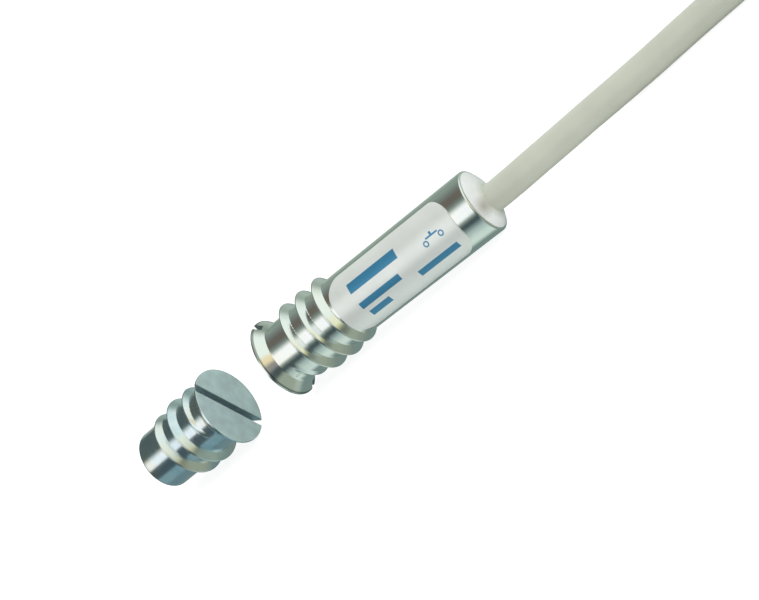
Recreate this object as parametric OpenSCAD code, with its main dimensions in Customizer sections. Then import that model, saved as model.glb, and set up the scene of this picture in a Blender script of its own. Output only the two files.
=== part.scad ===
// Magnetic contact: a reed switch sealed in a threaded metal housing on a four-core cable,
// and the threaded magnet housing that works it, both lying on a flat surface.
// Units are millimetres. The long axis of the switch runs along +X towards its cable.

/* [Switch housing] */
// Length of the switch housing from its slotted face to its rear rim
switch_len = 32.7; // [30:0.1:45]
// Diameter of the smooth tube
tube_d = 8; // [7.6:0.1:8.4]
// Diameter of the round head
switch_head_d = 10.3; // [10:0.1:11]
// Wall of the tube round its bore
tube_wall = 0.7; // [0.5:0.05:0.8]
// Metal left between the head's face and the bore
face_wall = 2.8; // [2.2:0.1:3.5]
// Turn of the screwdriver slot about the axis
switch_slot_turn = -9; // [-90:1:90]

/* [Magnet housing] */
// Length of the magnet housing from its slotted face to its rear
magnet_housing_len = 13.4; // [12:0.1:16]
// Diameter of the shank behind the thread
shank_d = 8; // [7.6:0.1:8.4]
// Diameter of the round head
magnet_head_d = 10.38; // [10:0.02:11]
// Diameter of the magnet
magnet_d = 5.4; // [4:0.1:6]
// Length of the magnet
magnet_len = 8; // [5:0.5:9]
// Thickness of the plug that seals the magnet in
plug_t = 1.6; // [1:0.1:2]
// Turn of the screwdriver slot about the axis
magnet_slot_turn = -13; // [-90:1:90]

/* [Head and thread] */
// Straight edge of the head before its cone
head_land = 0.25; // [0.15:0.05:0.5]
// Width of the screwdriver slot
slot_w = 1; // [0.8:0.1:1.2]
// Depth of the screwdriver slot
slot_depth = 1; // [0.6:0.1:1.2]
// Outer diameter of the coarse thread
thread_d = 9.9; // [9.4:0.05:10]
// Distance between two turns of the thread
pitch = 2.75; // [2.5:0.05:3]
// Width of the thread ridge at its foot
ridge_foot = 1.3; // [1.1:0.05:1.5]
// Width of the thread ridge at its crest
ridge_crest = 0.24; // [0.15:0.01:0.35]
// How much slimmer the cast core is at the head than at the end of the thread
core_draft = 0.04; // [0.02:0.01:0.1]
// Rounding of the rear rims
rim_round = 0.3; // [0.1:0.05:0.4]

/* [Label] */
// Length of the label along the tube
label_len = 18.2; // [12:0.1:18.5]
// Width of the label seen flat on
label_w = 6.9; // [5:0.1:7.2]
// Corner radius of the label
label_corner = 2; // [0.5:0.1:2.2]
// Thickness of the label with its clear cover film
label_t = 0.16; // [0.15:0.01:0.2]
// Distance from the face to the label's front edge
label_start = 11.8; // [11.6:0.1:12.5]

/* [Reed switch] */
// Diameter of the glass capsule
capsule_d = 2.2; // [1.8:0.1:2.4]
// Length of the glass capsule
capsule_len = 14; // [12:0.5:15]
// Wall of the glass capsule
capsule_wall = 0.3; // [0.2:0.05:0.4]
// Diameter of the reed leads and of the return wire
lead_d = 0.5; // [0.4:0.05:0.6]
// Thickness of a flattened reed blade
blade_t = 0.16; // [0.1:0.01:0.2]
// Width of a flattened reed blade
blade_w = 0.9; // [0.6:0.05:1]
// Length over which the two blades overlap
blade_overlap = 1.2; // [0.5:0.1:2]
// Gap between the two open blades
blade_gap = 0.08; // [0.04:0.01:0.15]
// Length of the insulating carrier round the capsule
carrier_len = 19; // [18:0.5:20]

/* [Cable] */
// Diameter of the cable's jacket
cable_d = 3.4; // [3:0.1:3.6]
// Diameter of each insulated core
core_d = 1; // [0.8:0.05:1.05]
// Diameter of each bare conductor
conductor_d = 0.5; // [0.3:0.05:0.5]
// Depth of the jacket's end inside the resin
jacket_depth = 5.2; // [4:0.1:6]
// Height of the resin's collar up the cable
collar_h = 1; // [0.5:0.1:1.5]
// How far the jacket sits below the tube's axis
cable_drop = 0.4; // [0:0.05:0.4]
// How far the jacket sits to the side of the tube's axis
cable_side = 0.2; // [0:0.05:0.3]

/* [Stored cable] */
// Radius of the hank's outer turn, to the middle of the cable
hank_turn_r = 13.6; // [12:0.1:20]
// Length of the hank's straight runs
hank_run = 59; // [51:1:75]
// Height of the hank
hank_h = 17; // [10:1:24]
// Width of the cable tie's band
tie_w = 2.6; // [2:0.1:5]
// Thickness of the cable tie's band
tie_t = 1.1; // [0.8:0.1:1.5]
// Length of the stripped cores at the free end
strip_len = 12; // [8:1:16]
// Length of the tinned tip on each core
tip_len = 4; // [2:0.5:8]

/* [Layout] */
// Gap between the two slotted faces
face_gap = 10.3; // [5:0.1:20]
// Turn of the magnet housing about the upright
magnet_yaw = 2.5; // [-5:0.5:5]

/* [Hidden] */
$fn = 96;

slip = 0.1;
overcut = 1;
tube_r = tube_d / 2;
shank_r = shank_d / 2;
bore_r = tube_r - tube_wall;
crest_h = (thread_d - tube_d) / 2;

// The ridge's section: its foot lies below the core's surface, and its crest is blunted
ridge_sink = 0.2;
ridge_shoulder = 0.5;
shoulder_height = 0.86;
ridge_step = 12;
switch_thread_start = 2.638;
switch_thread_turn = 86;
switch_thread_sweep = 1227;
switch_run_in = 172;
magnet_thread_start = 2.83;
magnet_thread_turn = 271;
magnet_thread_sweep = 891;
magnet_run_in = 110;
run_out = 117;

// The label faces the side of the tube that is turned towards the viewer
label_turn = 71;

// Parts inside the tube, placed along its axis from the face
carrier_start = face_wall + slip;
capsule_start = carrier_start + (carrier_len - capsule_len) / 2;
lead_front = carrier_start + 3 * slip + lead_d / 2;
lead_r = lead_d / 2;
return_r = capsule_d / 2 + slip + lead_r + slip;
return_turn = -45;
carrier_end = carrier_start + carrier_len;
jacket_end = switch_len - jacket_depth;
core_r = core_d / 2;
conductor_r = conductor_d / 2;
core_ring_r = core_r * sqrt(2) + slip;
core_angles = [45, -45, -135, 135];
lead_joint_z = carrier_end + 1.1;
return_joint_z = lead_joint_z + 1.4;
loop_joint_z = return_joint_z + 0.4;
joint_r = core_ring_r * cos(45) + conductor_r - slip;
joint_heights = [lead_joint_z, return_joint_z, loop_joint_z, loop_joint_z];
core_gap = joint_r + slip;

// The switch rests on its last full thread crest and on its rear rim, with its nose up
last_crest = 8.86;
rest_pitch = atan((thread_d / 2 - tube_r) / (switch_len - rim_round - last_crest));
rear_z = tube_r * cos(rest_pitch) - rim_round * sin(rest_pitch);
face_z = rear_z + switch_len * sin(rest_pitch);
rear_reach = switch_len * cos(rest_pitch) + collar_h;
magnet_reach = face_gap + magnet_housing_len * cos(magnet_yaw) + shank_r * sin(magnet_yaw);
face_x = (magnet_reach - rear_reach) / 2;

// Route of the cable's middle, from inside the resin to the hank
cable_route = [
    [22.5, -0.2, 3.8], [27.7, -0.2, 3.58], [29.5, -0.2, 3.49], [31.5, 0, 3.38], [34, 0.5, 3.2],
    [36, 1, 3.02], [38, 1.55, 2.82], [40, 2.1, 2.62], [42, 2.7, 2.42], [44, 3.2, 2.22],
    [46, 3.7, 2.03], [48, 4.15, 1.88], [50, 4.5, 1.77], [52, 4.8, 1.71], [54, 5, 1.7],
    [57, 5.2, 1.7], [60, 5.3, 1.7], [64, 5.4, 1.7], [68.5, 5.4, 1.7]
];
lead_end = cable_route[len(cable_route) - 1];
cable_r = cable_d / 2;
hank_outer_r = hank_turn_r + cable_r;
hank_y = lead_end[1] + hank_turn_r;
lead_depth = sqrt(pow(hank_outer_r, 2) - pow(hank_turn_r - cable_r, 2));
hank_x = lead_end[0] + slip + lead_depth - hank_outer_r;
hank_len = hank_run + 2 * hank_outer_r;

// The free end lies on top of the hank's near run and points away from the object
tail_x = hank_x + hank_outer_r;
tail_y = hank_y - hank_turn_r + cable_d;
tail_z = hank_h + cable_r;
tail_len = 8;
tail_spread = [1.4, -0.9, -3, -5];
tail_steps = 6;

// Seen along the axis: one point of a ring round a swept tube
function ring_point(c, forward, r, a) =
    let (side = [-forward[1], forward[0], 0] / norm([forward[0], forward[1]]),
         up = cross(forward, side))
    c + r * (cos(a) * side + sin(a) * up);

function route_forward(route, i) =
    let (a = route[max(i - 1, 0)], b = route[min(i + 1, len(route) - 1)])
    (b - a) / norm(b - a);

function swept_faces(rings, sides) = concat(
    [[for (j = [sides - 1 : -1 : 0]) j]],
    [for (i = [0 : rings - 2], j = [0 : sides - 1]) [
        i * sides + j, i * sides + (j + 1) % sides, (i + 1) * sides + (j + 1) % sides]],
    [for (i = [0 : rings - 2], j = [0 : sides - 1]) [
        i * sides + j, (i + 1) * sides + (j + 1) % sides, (i + 1) * sides + j]],
    [[for (j = [0 : sides - 1]) (rings - 1) * sides + j]]
);

module swept_tube(route, r, sides = 8) {
    points = [for (i = [0 : len(route) - 1], j = [0 : sides - 1])
        ring_point(route[i], route_forward(route, i), r, 360 * (j + 0.5) / sides)];
    polyhedron(points, swept_faces(len(route), sides));
}

// Height of the ridge at an angle from its start, from 0 where it is buried to 1 at full height
function ridge_rise(a, sweep, run_in) = min(1, a / run_in, (sweep - a) / run_out);

function ridge_section(rise, root_r) =
    let (base = root_r - ridge_sink,
         top = base + ridge_sink / 2 + rise * (crest_h + ridge_sink / 2),
         shoulder = base + shoulder_height * (top - base))
    [[base, -ridge_foot / 2], [shoulder, -ridge_shoulder / 2], [top, -ridge_crest / 2],
     [top, ridge_crest / 2], [shoulder, ridge_shoulder / 2], [base, ridge_foot / 2]];

module thread_ridge(start, turn, sweep, run_in, root_r) {
    rings = ceil(sweep / ridge_step) + 1;
    step = sweep / (rings - 1);
    points = [for (i = [0 : rings - 1])
        for (p = ridge_section(ridge_rise(i * step, sweep, run_in), root_r))
            [p[0] * cos(turn + i * step), p[0] * sin(turn + i * step),
             start + pitch * i * step / 360 + p[1]]];
    polyhedron(points, swept_faces(rings, 6));
}

// Outline of a turned housing from its face at 0 to its rear, without its bore
function housing_outline(length, r, head_r, thread_end) =
    let (root_r = r - core_draft, cone_end = head_land + head_r - root_r, edge = head_land / 3)
    concat(
        [[0, 0], [head_r - edge, 0], [head_r, edge], [head_r, head_land],
         [root_r, cone_end], [r, thread_end]],
        [for (a = [0 : 30 : 90])
            [r - rim_round * (1 - cos(a)), length - rim_round * (1 - sin(a))]],
        [[0, length]]
    );

module slot_cut(turn) {
    rotate([0, 0, turn])
        translate([-thread_d, -slot_w / 2, -overcut])
            cube([2 * thread_d, slot_w, slot_depth + overcut]);
}

module threaded_housing(length, r, head_r, start, turn, sweep, run_in) {
    thread_end = start + pitch * sweep / 360 + ridge_foot / 2;
    rotate_extrude() polygon(housing_outline(length, r, head_r, thread_end));
    thread_ridge(start, turn, sweep, run_in, r);
}

module bore(r, from, to) {
    translate([0, 0, from]) cylinder(r = r, h = to - from);
}

// From the switch's own frame, with its face at 0 and its axis along Z, to where it lies
module in_switch() {
    translate([face_x, 0, face_z]) rotate([180, rest_pitch, 0]) rotate([0, 90, 0]) children();
}

// The same for the magnet housing, which lies on the edge of its head
module in_magnet() {
    translate([face_x - face_gap, 0, magnet_head_d / 2])
        rotate([0, 0, -magnet_yaw]) rotate([0, -90, 0]) children();
}

module at_ring(angle, r) {
    rotate([0, 0, angle]) translate([r, 0, 0]) children();
}

module switch_housing() {
    color("silver") in_switch() difference() {
        threaded_housing(switch_len, tube_r, switch_head_d / 2, switch_thread_start,
            switch_thread_turn, switch_thread_sweep, switch_run_in);
        bore(bore_r, face_wall, switch_len + overcut);
        slot_cut(switch_slot_turn);
    }
}

module carrier() {
    color("ivory") in_switch() difference() {
        bore(bore_r - slip, carrier_start, carrier_end);
        bore(capsule_d / 2 + slip, carrier_start - overcut, carrier_end + overcut);
        rotate([0, 0, return_turn])
            translate([0, -lead_r - slip, carrier_start - overcut])
                cube([tube_d, lead_d + 2 * slip, carrier_len + 2 * overcut]);
    }
}

// A glass tube melted closed round the leads at both ends
function capsule_outline() =
    let (r = capsule_d / 2, end = r, cavity = r - capsule_wall)
    [[lead_r, 0], [r - capsule_wall, 0], [r, end / 2], [r, capsule_len - end / 2],
     [r - capsule_wall, capsule_len], [lead_r, capsule_len], [lead_r, capsule_len - end],
     [cavity, capsule_len - 1.4 * end], [cavity, 1.4 * end], [lead_r, end]];

module reed_capsule() {
    color("lightgreen", 0.5) in_switch()
        translate([0, 0, capsule_start]) rotate_extrude() polygon(capsule_outline());
}

// One reed: a round lead that is flattened to a springy blade inside the glass
module reed(from, neck, tip, side) {
    translate([0, 0, min(from, neck)]) cylinder(r = lead_r, h = abs(neck - from));
    translate([-blade_w / 2, side > 0 ? blade_gap / 2 : -blade_gap / 2 - blade_t, min(neck, tip)])
        cube([blade_w, blade_t, abs(tip - neck)]);
}

blade_middle = capsule_start + capsule_len / 2;
neck_depth = 2 * capsule_d;

module front_reed() {
    color("gray") in_switch()
        reed(lead_front, capsule_start + neck_depth / 2, blade_middle + blade_overlap / 2, 1);
}

module rear_reed() {
    color("gray") in_switch()
        reed(lead_joint_z + joint_r / 2, capsule_start + capsule_len - neck_depth / 2,
            blade_middle - blade_overlap / 2, -1);
}

module return_wire_solid() {
    at_ring(return_turn, return_r) bore(lead_r, lead_front, return_joint_z + joint_r / 2);
    translate([0, 0, lead_front]) rotate([0, 0, return_turn])
        translate([lead_r, 0, lead_r]) rotate([0, 90, 0])
            cylinder(r = lead_r - slip / 2, h = return_r - lead_r);
}

module return_wire() {
    color("gray") in_switch() return_wire_solid();
}

module core_in_resin(i) {
    at_ring(core_angles[i], core_ring_r) bore(core_r, joint_heights[i] + core_gap, jacket_end);
}

module core_white() { color("white") in_switch() core_in_resin(0); }
module core_brown() { color("saddlebrown") in_switch() core_in_resin(1); }
module core_green() { color("green") in_switch() core_in_resin(2); }
module core_yellow() { color("yellow") in_switch() core_in_resin(3); }

module conductor_solids() {
    for (i = [0 : 3])
        at_ring(core_angles[i], core_ring_r)
            bore(conductor_r, joint_heights[i], joint_heights[i] + core_gap);
}

module conductor_ends() {
    color("peru") in_switch() conductor_solids();
}

// Centre of each blob of solder: between the two wires that it joins
lead_joint = [core_ring_r * cos(45) / 2, core_ring_r * cos(45) / 2, lead_joint_z];
return_joint_r = (core_ring_r + return_r) / 2;
return_joint = [return_joint_r * cos(return_turn), return_joint_r * sin(return_turn), return_joint_z];
loop_joint = [-core_ring_r * cos(45), 0, loop_joint_z];

module joint_blobs() {
    for (c = [lead_joint, return_joint, loop_joint])
        translate(c) sphere(r = joint_r);
}

module solder_joints() {
    color("darkgray") in_switch() difference() {
        joint_blobs();
        conductor_solids();
        return_wire_solid();
        bore(lead_r, carrier_end, lead_joint_z + joint_r / 2);
    }
}

// The resin fills the tube behind the carrier and climbs the cable in a hollow curve, which takes
// this share of the collar's height
meniscus = 0.4;

function resin_outline() =
    let (collar = cable_r + norm([cable_drop, cable_side]) + slip,
         span = bore_r - collar, fill = switch_len - slip)
    concat(
        [[0, carrier_end], [bore_r, carrier_end], [bore_r, fill]],
        [for (a = [75 : -15 : 15])
            [bore_r - span * (1 - cos(a)), fill + meniscus * collar_h * (1 - sin(a))]],
        [[collar, switch_len + collar_h], [0, switch_len + collar_h]]
    );

module potting_resin() {
    color("ghostwhite") in_switch() difference() {
        rotate_extrude() polygon(resin_outline());
        translate([-cable_drop, cable_side, jacket_end]) cylinder(r = cable_r, h = switch_len);
        for (i = [0 : 3]) core_in_resin(i);
        conductor_solids();
        return_wire_solid();
        joint_blobs();
        bore(lead_r, carrier_end - overcut, lead_joint_z);
    }
}

module label_outline() {
    x = label_len - 2 * label_corner;
    y = label_w - 2 * label_corner;
    square([label_len, y], center = true);
    square([x, label_w], center = true);
    for (a = [-1, 1], b = [-1, 1])
        translate([a * x / 2, b * y / 2]) circle(r = label_corner);
}

module label() {
    color("whitesmoke") in_switch() rotate([0, 0, label_turn]) intersection() {
        difference() {
            cylinder(r = tube_r + label_t, h = switch_len);
            translate([0, 0, -overcut]) cylinder(r = tube_r, h = switch_len + 2 * overcut);
        }
        translate([0, 0, label_start + label_len / 2]) rotate([0, 90, 0])
            linear_extrude(height = tube_d) label_outline();
    }
}

module cable() {
    color("ivory") swept_tube(cable_route, cable_r);
}

module tie_cut() {
    translate([hank_x + hank_len / 2 - tie_w / 2, hank_y - hank_outer_r, 0]) difference() {
        cube([tie_w, 2 * hank_outer_r, hank_h]);
        translate([-overcut, tie_t, tie_t])
            cube([tie_w + 2 * overcut, 2 * (hank_outer_r - tie_t), hank_h - 2 * tie_t]);
    }
}

module cable_hank() {
    color("ivory") difference() {
        linear_extrude(height = hank_h) union() {
            for (x = [hank_x + hank_outer_r, hank_x + hank_len - hank_outer_r])
                translate([x, hank_y]) circle(r = hank_outer_r);
            translate([hank_x + hank_outer_r, hank_y - hank_outer_r]) square([hank_run, 2 * hank_outer_r]);
        }
        tie_cut();
    }
}

module cable_tie() {
    color("dimgray") {
        tie_cut();
        translate([hank_x + hank_len / 2 - tie_w, hank_y - hank_outer_r + 2 * tie_w, hank_h])
            cube([2 * tie_w, 1.5 * tie_w, 2 * tie_t]);
    }
}

module cable_tail() {
    color("ivory") swept_tube([for (i = [0 : 2]) [tail_x + tail_len * i / 2, tail_y, tail_z]], cable_r);
}

// A stripped core leaves the jacket's end and bends out and down to the top of the hank
function tail_core_route(i) =
    let (offset = core_ring_r * cos(45),
         y0 = offset * (i < 2 ? 1 : -1),
         z0 = tail_z + offset * (i % 2 == 0 ? 1 : -1),
         z1 = hank_h + core_r)
    [for (k = [0 : tail_steps])
        let (u = k / tail_steps, s = u * u * (3 - 2 * u))
        [tail_x + tail_len + strip_len * u, tail_y + y0 + (tail_spread[i] - y0) * s, z0 + (z1 - z0) * s]];

module tail_white() { color("white") swept_tube(tail_core_route(0), core_r); }
module tail_brown() { color("saddlebrown") swept_tube(tail_core_route(1), core_r); }
module tail_green() { color("green") swept_tube(tail_core_route(2), core_r); }
module tail_yellow() { color("yellow") swept_tube(tail_core_route(3), core_r); }

module tail_tips() {
    color("lightgray") for (i = [0 : 3])
        translate([tail_x + tail_len + strip_len, tail_y + tail_spread[i], hank_h + core_r])
            rotate([0, 90, 0]) cylinder(r = conductor_r, h = tip_len);
}

magnet_end = magnet_housing_len - plug_t;
magnet_bore_r = magnet_d / 2 + slip / 2;

module magnet_housing() {
    color("lightsteelblue") in_magnet() difference() {
        threaded_housing(magnet_housing_len, shank_r, magnet_head_d / 2, magnet_thread_start,
            magnet_thread_turn, magnet_thread_sweep, magnet_run_in);
        bore(magnet_bore_r, magnet_end - magnet_len, magnet_housing_len + overcut);
        slot_cut(magnet_slot_turn);
    }
}

module magnet() {
    color("dimgray") in_magnet() bore(magnet_d / 2, magnet_end - magnet_len, magnet_end);
}

module magnet_plug() {
    color("ghostwhite") in_magnet() bore(magnet_bore_r, magnet_end, magnet_housing_len - slip);
}

switch_housing();
carrier();
reed_capsule();
front_reed();
rear_reed();
return_wire();
core_white();
core_brown();
core_green();
core_yellow();
conductor_ends();
solder_joints();
potting_resin();
label();
cable();
cable_hank();
cable_tie();
cable_tail();
tail_white();
tail_brown();
tail_green();
tail_yellow();
tail_tips();
magnet_housing();
magnet();
magnet_plug();
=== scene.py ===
"""Dresses the magnetic contact: two zinc plated housings, a label, resin and a lead of real length.

Every length is in metres, in the frame of the solids, unless a name ends in _mm or _deg.
"""

import math

import bpy
import numpy as np
from bpy.props import FloatProperty, FloatVectorProperty, PointerProperty
from mathutils import Matrix


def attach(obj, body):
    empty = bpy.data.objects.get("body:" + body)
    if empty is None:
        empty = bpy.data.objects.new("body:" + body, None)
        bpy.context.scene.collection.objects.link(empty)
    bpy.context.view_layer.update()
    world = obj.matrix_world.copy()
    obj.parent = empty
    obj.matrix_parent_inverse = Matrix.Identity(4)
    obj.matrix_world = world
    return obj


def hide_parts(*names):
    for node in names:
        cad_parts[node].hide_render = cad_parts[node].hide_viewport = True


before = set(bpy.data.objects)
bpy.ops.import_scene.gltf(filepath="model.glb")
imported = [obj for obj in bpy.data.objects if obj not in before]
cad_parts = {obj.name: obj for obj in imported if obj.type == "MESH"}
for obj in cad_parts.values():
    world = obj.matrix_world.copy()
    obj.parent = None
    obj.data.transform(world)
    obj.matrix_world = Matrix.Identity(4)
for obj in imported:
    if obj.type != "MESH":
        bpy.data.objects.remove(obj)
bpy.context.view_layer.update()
MM = 0.001
BODY = "root"

bl_info = {
    "name": "Magnetic contact",
    "version": (1, 0, 0),
    "blender": (4, 5, 0),
    "location": "View3D > Sidebar > Contact",
    "description": "Builds the visible surfaces of a threaded magnetic contact and its lead",
    "category": "Object",
}


def length(name, description, value_mm):
    """A length property whose default is given in millimetres."""
    return FloatProperty(name=name, description=description, default=value_mm * MM, unit="LENGTH", precision=5)


def angle(name, description, value_deg):
    """An angle property whose default is given in degrees."""
    return FloatProperty(name=name, description=description, default=math.radians(value_deg), subtype="ANGLE")


def colour(name, description, value):
    """A colour property."""
    return FloatVectorProperty(name=name, description=description, default=value, subtype="COLOR", min=0, max=1)


class ThreadSettings(bpy.types.PropertyGroup):
    """The coarse rounded ridge that both housings share."""

    pitch: length("Pitch", "Distance between two turns", 2.75)
    height: length("Height", "Height of the ridge above the core", 0.95)
    foot: length("Foot", "Width of the ridge at its foot", 1.42)
    run_out: angle("Run-out", "Turn over which the ridge sinks into the tube", 117)


class SwitchSettings(bpy.types.PropertyGroup):
    """The housing that holds the reed switch."""

    length: length("Length", "From the slotted face to the rear rim", 32.7)
    tube_r: length("Tube radius", "Radius of the smooth tube", 4.0)
    head_r: length("Head radius", "Radius of the round head", 5.15)
    bore_r: length("Bore radius", "Radius of the bore at the rear", 3.3)
    bore_start: length("Bore start", "Depth of metal before the bore", 2.8)
    slot_turn: angle("Slot turn", "Turn of the slot about the axis", -9)
    thread_start: length("Thread start", "From the face to the first ridge", 2.638)
    thread_turn: angle("Thread turn", "Where round the axis the ridge starts", 86)
    thread_sweep: angle("Thread sweep", "Whole turn of the ridge", 1227)
    run_in: angle("Run-in", "Turn over which the ridge rises", 172)
    last_crest: length("Last crest", "From the face to the crest that it rests on", 8.86)


class MagnetSettings(bpy.types.PropertyGroup):
    """The housing that holds the magnet."""

    length: length("Length", "From the slotted face to the rear", 13.4)
    tube_r: length("Shank radius", "Radius of the smooth shank", 4.0)
    head_r: length("Head radius", "Radius of the round head", 5.19)
    bore_r: length("Bore radius", "Radius of the magnet's bore", 2.75)
    bore_start: length("Bore start", "Depth of metal before the bore", 3.8)
    slot_turn: angle("Slot turn", "Turn of the slot about the axis", -13)
    thread_start: length("Thread start", "From the face to the first ridge", 2.83)
    thread_turn: angle("Thread turn", "Where round the axis the ridge starts", 271)
    thread_sweep: angle("Thread sweep", "Whole turn of the ridge", 891)
    run_in: angle("Run-in", "Turn over which the ridge rises", 110)
    yaw: angle("Yaw", "Turn about the upright", 2.5)
    gap: length("Gap", "Between the two slotted faces", 10.3)


class HeadSettings(bpy.types.PropertyGroup):
    """The slotted countersunk head and the small roundings that both housings share."""

    land: length("Land", "Straight edge before the cone", 0.25)
    edge: length("Edge rounding", "Rounding of the head's edge", 0.07)
    fillet: length("Fillet", "Rounding where the cone meets the core", 0.35)
    rim: length("Rim rounding", "Rounding of the rear rim", 0.3)
    draft: length("Draft", "How much slimmer the core is at the head", 0.02)
    slot_w: length("Slot width", "Width of the screwdriver slot", 1.0)
    slot_depth: length("Slot depth", "Depth of the screwdriver slot", 1.0)
    slot_break: length("Slot break", "Small bevel along the slot's edges", 0.05)


class LabelSettings(bpy.types.PropertyGroup):
    """The film round the tube's near side."""

    length: length("Length", "Along the tube", 18.2)
    width: length("Width", "Seen flat on", 6.9)
    corner: length("Corner", "Corner radius", 2.0)
    thickness: length("Thickness", "Thickness of the film", 0.16)
    start: length("Start", "From the face to its front edge", 11.8)
    turn: angle("Turn", "Where round the axis its middle lies", 71)
    film: colour("Film", "Silvery white film", (0.90, 0.94, 0.90))
    ink: colour("Ink", "Blue print", (0.05, 0.26, 0.45))


class LeadSettings(bpy.types.PropertyGroup):
    """The four-core lead and its hank."""

    diameter: length("Diameter", "Diameter of the jacket", 3.4)
    total: length("Length", "Real length of the lead", 2000)
    turn_r: length("Turn radius", "Radius of the hank's outer turn", 13.6)
    run: length("Run", "Length of the hank's straight runs", 59)
    height: length("Height", "Height of the hank", 17)
    core_d: length("Core diameter", "Diameter of each stripped core", 1.0)
    drop: length("Drop", "How far the lead leaves the resin below the tube's axis", 0.4)
    aside: length("Aside", "How far the lead leaves the resin to the side of the tube's axis", 0.2)
    tail: length("Tail", "Jacket left beyond the hank", 8)
    strip: length("Strip", "Length of the stripped cores", 12)
    jacket: colour("Jacket", "Ivory jacket", (0.63, 0.665, 0.56))


class FinishSettings(bpy.types.PropertyGroup):
    """Colours of the metal and the resin."""

    switch_zinc: colour("Switch zinc", "Warm clear zinc plate", (0.85, 0.875, 0.85))
    magnet_zinc: colour("Magnet zinc", "Bluish zinc plate", (0.78, 0.86, 0.89))
    straw: colour("Straw bloom", "Straw tint of the plating", (0.86, 0.66, 0.36))
    blue: colour("Blue bloom", "Blue tint of the plating", (0.42, 0.60, 0.70))
    resin: colour("Resin", "Milky cast resin", (0.92, 0.95, 0.93))


class StageSettings(bpy.types.PropertyGroup):
    """The camera and the soft studio."""

    azimuth: angle("Azimuth", "Where the camera stands, from -Y towards +X", 29.4)
    elevation: angle("Elevation", "Height of the camera's view", 19)
    roll: angle("Roll", "Roll of the camera about its view", -50.77)
    distance: length("Distance", "From the camera to the middle of the view", 170.7)
    focal_px: FloatProperty(name="Focal length", description="Focal length in pixels of the photograph", default=1483)
    key: FloatProperty(name="Key light", description="Power of the large soft light", default=0.8)
    fill: FloatProperty(name="Fill light", description="Power of the fill light", default=1.1)
    side: FloatProperty(name="Side light", description="Power of the light beyond the lead", default=0.7)
    room: FloatProperty(name="Room light", description="Soft light from all round", default=0.45)
    glow: FloatProperty(name="Floor glow", description="Share of the floor that shines white", default=0.55)
    floor: colour("Floor", "Colour of the floor", (0.9, 0.9, 0.9))


class ContactSettings(bpy.types.PropertyGroup):
    """All sizes and colours of the magnetic contact."""

    thread: PointerProperty(type=ThreadSettings)
    switch: PointerProperty(type=SwitchSettings)
    magnet: PointerProperty(type=MagnetSettings)
    head: PointerProperty(type=HeadSettings)
    label: PointerProperty(type=LabelSettings)
    lead: PointerProperty(type=LeadSettings)
    finish: PointerProperty(type=FinishSettings)
    stage: PointerProperty(type=StageSettings)


# Where the two housings lie

class Axes:
    """A right-handed frame: up across the axis, side across the axis, and along the axis from face to rear."""

    def __init__(self, origin, up, side, along):
        self.origin = np.array(origin, float)
        self.up = np.array(up, float)
        self.side = np.array(side, float)
        self.along = np.array(along, float)

    def place(self, x, y, z):
        """Row-frame points of x along up, y along side and z along the axis."""
        x, y, z = np.broadcast_arrays(x, y, z)
        return self.origin + x[..., None] * self.up + y[..., None] * self.side + z[..., None] * self.along

    def matrix(self):
        """The 4 by 4 matrix from this frame to the row frame."""
        m = np.eye(4)
        m[:3, 0], m[:3, 1], m[:3, 2], m[:3, 3] = self.up, self.side, self.along, self.origin
        return Matrix(m.tolist())


def face_x(s):
    """X of the switch's face, which centres the two housings on the origin."""
    collar = 1.0 * MM
    pitch = rest_pitch(s)
    rear = s.switch.length * math.cos(pitch) + collar
    front = s.magnet.gap + s.magnet.length * math.cos(s.magnet.yaw) + s.magnet.tube_r * math.sin(s.magnet.yaw)
    return (front - rear) / 2


def rest_pitch(s):
    """Tilt at which the switch lies on its last full crest and on its rear rim."""
    rise = s.thread.height
    return math.atan(rise / (s.switch.length - s.head.rim - s.switch.last_crest))


def switch_axes(s):
    """The switch's frame: its axis dips towards the cable by the rest pitch."""
    pitch = rest_pitch(s)
    c, n = math.cos(pitch), math.sin(pitch)
    rear_z = s.switch.tube_r * c - s.head.rim * n
    origin = (face_x(s), 0, rear_z + s.switch.length * n)
    return Axes(origin, (n, 0, c), (0, -1, 0), (c, 0, -n))


def magnet_axes(s):
    """The magnet housing's frame: level, and turned a little about the upright."""
    c, n = math.cos(s.magnet.yaw), math.sin(s.magnet.yaw)
    origin = (face_x(s) - s.magnet.gap, 0, s.magnet.head_r)
    return Axes(origin, (0, 0, 1), (n, c, 0), (-c, n, 0))


# Meshes from arrays

def grid_faces(rows, cols, closed):
    """Quads of a rows by cols grid, joined round where closed, counter-clockwise for outward normals."""
    i = np.arange(rows - 1)[:, None]
    j = np.arange(cols if closed else cols - 1)[None, :]
    k = (j + 1) % cols
    quads = np.stack([i * cols + j, i * cols + k, (i + 1) * cols + k, (i + 1) * cols + j], -1)
    return quads.reshape(-1, 4)


def cap_faces(first, cols, pole, flip):
    """Triangles that join one closed row to its pole."""
    j = np.arange(cols)
    k = (j + 1) % cols
    a, b = first + j, first + k
    tri = np.stack([b, a, np.full(cols, pole)] if flip else [a, b, np.full(cols, pole)], -1)
    return tri


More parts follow.
